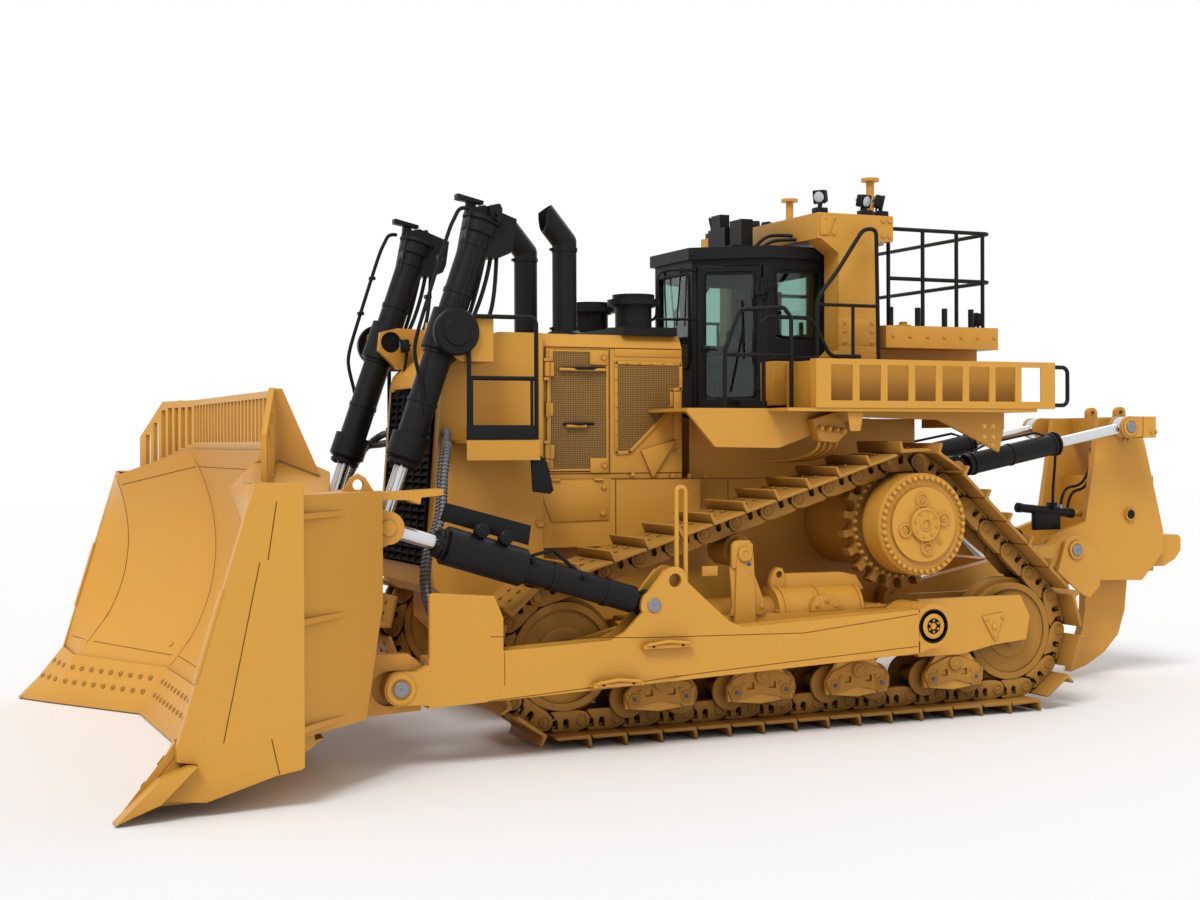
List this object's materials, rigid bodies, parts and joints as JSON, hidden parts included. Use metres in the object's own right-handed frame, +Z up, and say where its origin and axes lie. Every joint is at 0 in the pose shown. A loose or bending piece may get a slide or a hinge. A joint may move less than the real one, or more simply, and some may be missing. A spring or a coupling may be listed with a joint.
{
  "type": "track-type bulldozer with ripper",
  "caption": "Large track-type bulldozer with raised drive sprockets, a full U-shaped blade with a spill guard, hinged engine doors, a glazed cab and a single-shank ripper",
  "frame": {"origin": "on the ground, on the centre line, half-way along the machine", "axes": "+X is forward to the blade, +Y is the machine's left, +Z is up"},
  "size_m": [11.436, 6.358, 4.95],
  "materials": {
    "black_paint": "satin black paint",
    "chrome_rod": "polished hard chrome",
    "dark_trim": "matte black trim",
    "tinted_glass": "grey-green tinted glass",
    "track_steel": "worn painted track steel",
    "yellow_paint": "satin yellow paint"
  },
  "bodies": {
    "tractor": {"air_precleaners": "black_paint", "cab_glass": "tinted_glass", "cab_roof_unit": "black_paint", "cab_shell": "black_paint", "carrier_rollers": "yellow_paint", "engine_block": "black_paint", "equalizer_and_pivot": "yellow_paint", "exhaust_stacks": "black_paint", "final_drives": "yellow_paint", "front_steps": "yellow_paint", "handrails": "black_paint", "hood": "yellow_paint", "idlers": "yellow_paint", "main_frame": "yellow_paint", "operator_station": "dark_trim", "radiator_grille": "black_paint", "radiator_guard": "yellow_paint", "rear_deck": "yellow_paint", "rops_frame": "yellow_paint", "side_decks": "yellow_paint", "sprockets": "track_steel", "tanks": "yellow_paint", "track_frame_left": "yellow_paint", "track_frame_right": "yellow_paint", "track_left": "track_steel", "track_right": "track_steel", "track_rollers": "yellow_paint", "walkway_guards": "yellow_paint"},
    "push_arms": {"push_arm_left": "yellow_paint", "push_arm_right": "yellow_paint"},
    "blade": {"blade": "yellow_paint", "spill_guard": "yellow_paint", "cutting_edges": "yellow_paint"},
    "tilt_barrels": {"tilt_barrels": "black_paint"},
    "tilt_rods": {"tilt_rods": "chrome_rod"},
    "lift_barrels": {"lift_barrels": "black_paint"},
    "lift_rods": {"lift_rods": "chrome_rod"},
    "ripper_arms": {"ripper_arms": "yellow_paint"},
    "ripper_frame": {"ripper_frame": "yellow_paint", "ripper_shank": "yellow_paint"},
    "ripper_links": {"ripper_tilt_barrels": "black_paint", "ripper_tilt_rods": "chrome_rod"},
    "ripper_lift_barrels": {"ripper_lift_barrels": "black_paint"},
    "ripper_lift_rods": {"ripper_lift_rods": "chrome_rod"},
    "cab_door_left": {"cab_door_left": "black_paint"},
    "cab_door_right": {"cab_door_right": "black_paint"},
    "engine_door_left": {"engine_door_left": "yellow_paint"},
    "engine_door_right": {"engine_door_right": "yellow_paint"}
  },
  "joints": [
    {"name": "blade_lift", "type": "hinge", "parent": "tractor", "child": "push_arms", "pos_m": [-1.287, 0, 0.88], "axis": [0, -1, 0], "range_deg": [-7, 14]},
    {"name": "blade_pitch", "type": "hinge", "parent": "push_arms", "child": "blade", "pos_m": [3.489, 0, 0.627], "axis": [0, -1, 0], "range_deg": [-5, 5]},
    {"name": "tilt_barrel_swing", "type": "hinge", "parent": "push_arms", "child": "tilt_barrels", "pos_m": [1.385, 0, 1.171], "axis": [0, -1, 0], "range_deg": [-1.2, 1.2]},
    {"name": "tilt_rod_slide", "type": "slide", "parent": "tilt_barrels", "child": "tilt_rods", "axis": [0.9569, 0, 0.2904], "range_m": [-0.11, 0.11]},
    {"name": "lift_barrel_swing", "type": "hinge", "parent": "tractor", "child": "lift_barrels", "pos_m": [2.682, 0, 3.398], "axis": [0, -1, 0], "range_deg": [-5, 9]},
    {"name": "lift_rod_slide", "type": "slide", "parent": "lift_barrels", "child": "lift_rods", "axis": [0.3271, 0, -0.945], "range_m": [-1.17, 0.6]},
    {"name": "ripper_lift", "type": "hinge", "parent": "tractor", "child": "ripper_arms", "pos_m": [-1.888, 0, 0.981], "axis": [0, 1, 0], "range_deg": [-25, 15]},
    {"name": "ripper_frame_level", "type": "hinge", "parent": "ripper_arms", "child": "ripper_frame", "pos_m": [-3.988, 0, 1.381], "axis": [0, 1, 0], "range_deg": [-15.5, 25.5]},
    {"name": "ripper_link_swing", "type": "hinge", "parent": "tractor", "child": "ripper_links", "pos_m": [-2.54, 0, 2.21], "axis": [0, 1, 0], "range_deg": [-25.5, 15.5]},
    {"name": "ripper_barrel_swing", "type": "hinge", "parent": "tractor", "child": "ripper_lift_barrels", "pos_m": [-2.54, 0, 2.21], "axis": [0, 1, 0], "range_deg": [-21.5, 13.5]},
    {"name": "ripper_rod_slide", "type": "slide", "parent": "ripper_lift_barrels", "child": "ripper_lift_rods", "axis": [-0.7867, 0, -0.6173], "range_m": [-0.36, 0.61]},
    {"name": "cab_door_left_swing", "type": "hinge", "parent": "tractor", "child": "cab_door_left", "pos_m": [-0.3769, 0.82594, 3.4], "axis": [0, 0, 1], "range_deg": [0, 80]},
    {"name": "cab_door_right_swing", "type": "hinge", "parent": "tractor", "child": "cab_door_right", "pos_m": [-0.3769, -0.82594, 3.4], "axis": [0, 0, -1], "range_deg": [0, 80]},
    {"name": "engine_door_left_swing", "type": "hinge", "parent": "tractor", "child": "engine_door_left", "pos_m": [1.706, 0.73, 2.75], "axis": [0, 0, -1], "range_deg": [0, 88]},
    {"name": "engine_door_right_swing", "type": "hinge", "parent": "tractor", "child": "engine_door_right", "pos_m": [1.706, -0.73, 2.75], "axis": [0, 0, 1], "range_deg": [0, 88]}
  ],
  "couplings": [
    {"joint": "tilt_barrel_swing", "follows": "blade_pitch", "ratio": 0.1928},
    {"joint": "tilt_rod_slide", "follows": "blade_pitch", "m_per_rad": -1.1339},
    {"joint": "lift_barrel_swing", "follows": "blade_lift", "ratio": 0.5921},
    {"joint": "lift_rod_slide", "follows": "blade_lift", "m_per_rad": -4.6147},
    {"joint": "ripper_frame_level", "follows": "ripper_lift", "ratio": -1},
    {"joint": "ripper_link_swing", "follows": "ripper_lift", "ratio": 1},
    {"joint": "ripper_barrel_swing", "follows": "ripper_lift", "ratio": 0.824},
    {"joint": "ripper_rod_slide", "follows": "ripper_lift", "m_per_rad": -1.342}
  ]
}
